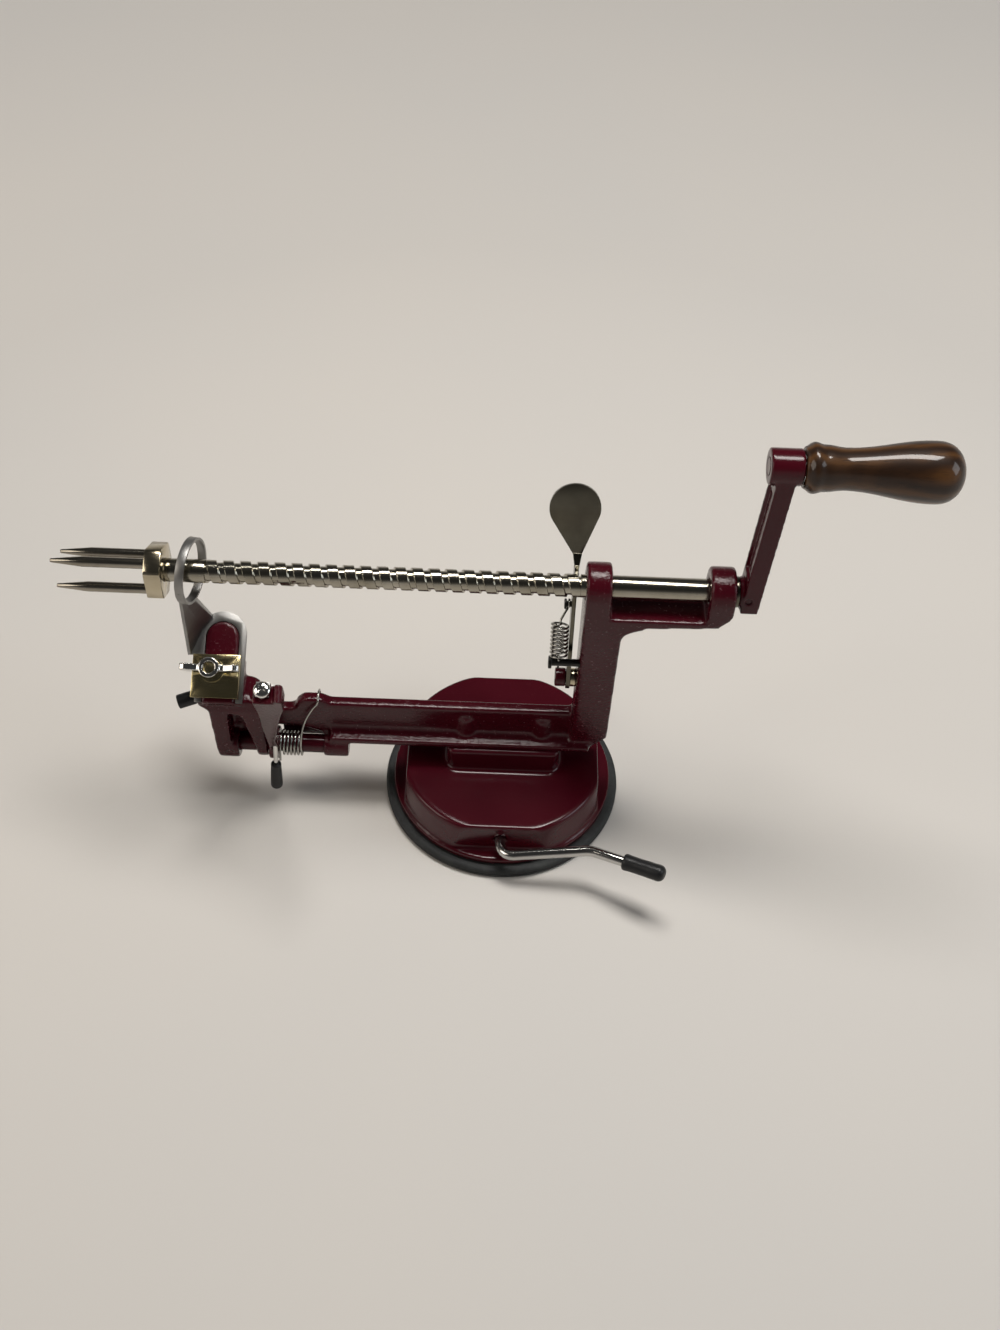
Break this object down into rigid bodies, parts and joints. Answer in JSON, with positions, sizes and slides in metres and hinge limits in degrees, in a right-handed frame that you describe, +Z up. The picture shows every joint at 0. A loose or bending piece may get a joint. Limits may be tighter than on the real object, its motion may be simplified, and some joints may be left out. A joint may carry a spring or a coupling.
{
  "type": "apple peeler",
  "caption": "Hand-cranked apple peeler, corer and slicer: a threaded drive shaft with a fork, a coring ring blade, a sprung peeling arm and a suction base with a lever.",
  "frame": {"origin": "centre of the suction pad's underside, on the table", "axes": "+X along the drive shaft from the fork towards the crank, +Y away from the user, +Z up"},
  "size_m": [0.3308, 0.1168, 0.1956],
  "materials": {
    "burgundy_enamel": "deep burgundy gloss enamel on die-cast metal",
    "nickel": "bright nickel plate",
    "plain_steel": "plain turned steel",
    "stainless": "brushed stainless strip",
    "chrome_rod": "polished plated rod",
    "black_vinyl": "dipped black vinyl",
    "black_steel": "blackened steel",
    "grey_rubber": "matt dark grey rubber",
    "spring_steel": "bright spring wire",
    "walnut": "dark stained and lacquered wood"
  },
  "bodies": {
    "frame": {"frame_casting": "burgundy_enamel", "base_dome": "burgundy_enamel", "suction_pad": "grey_rubber", "frame_screws": "plain_steel", "pivot_bar": "burgundy_enamel", "bar_pin": "burgundy_enamel", "release_pivot_screw": "burgundy_enamel", "release_bush": "nickel", "anchor_pin": "black_steel", "stop_pin": "black_vinyl", "corer_blade": "stainless", "clamp_plate": "nickel", "clamp_bolt": "nickel", "release_spring": "spring_steel", "arm_spring": "spring_steel"},
    "feed": {"thrust_washer": "nickel"},
    "drive": {"drive_shaft": "nickel", "fork_head": "nickel", "fork_prongs": "nickel", "crank_arm": "burgundy_enamel", "crank_pin": "burgundy_enamel", "handle_spindle": "plain_steel"},
    "handle": {"wood_handle": "walnut"},
    "release": {"release_lever": "nickel", "lever_stud": "black_steel"},
    "peeler": {"peeler_arm": "burgundy_enamel", "peel_blade": "stainless", "peel_blade_screw": "nickel", "arm_rod": "chrome_rod", "rod_tip": "black_vinyl"},
    "lever": {"lever_rod": "chrome_rod", "lever_cam": "plain_steel", "lever_cap": "black_vinyl"},
    "stud": {"pull_stud": "plain_steel"},
    "wing": {"wing_nut": "nickel"}
  },
  "joints": [
    {"name": "shaft_feed", "type": "slide", "parent": "frame", "child": "feed", "axis": [1, 0, 0], "range_m": [0, 0.131]},
    {"name": "crank_turn", "type": "hinge", "parent": "feed", "child": "drive", "pos_m": [0.0865, 0, 0.1264], "axis": [1, 0, 0], "range_deg": [0, 7200]},
    {"name": "handle_spin", "type": "hinge", "parent": "drive", "child": "handle", "pos_m": [0.11, 0.00589, 0.1844], "axis": [1, 0, 0], "continuous": true},
    {"name": "release_turn", "type": "hinge", "parent": "frame", "child": "release", "pos_m": [0.0248, 0, 0.0728], "axis": [1, 0, 0], "range_deg": [-10, 0], "stiffness_Nm_per_rad": 0.15, "springref_deg": 14.32, "deforming": ["release_spring"]},
    {"name": "peeler_swing", "type": "hinge", "parent": "frame", "child": "peeler", "pos_m": [-0.0977, -0.005, 0.0288], "axis": [1, 0, 0], "range_deg": [-20, 6], "deforming": ["arm_spring"]},
    {"name": "base_lever", "type": "hinge", "parent": "frame", "child": "lever", "pos_m": [0, 0, 0.0145], "axis": [0, -1, 0], "range_deg": [0, 160]},
    {"name": "stud_lift", "type": "slide", "parent": "frame", "child": "stud", "axis": [0, 0, 1], "range_m": [0, 0.0032]},
    {"name": "wing_turn", "type": "hinge", "parent": "frame", "child": "wing", "pos_m": [-0.1208, 0.00199, 0.06465], "axis": [0, -0.5, 0.866], "range_deg": [0, 720]}
  ],
  "couplings": [
    {"joint": "shaft_feed", "follows": "crank_turn", "m_per_rad": 0.0010345},
    {"joint": "stud_lift", "follows": "base_lever", "m_per_rad": 0.0011114}
  ]
}
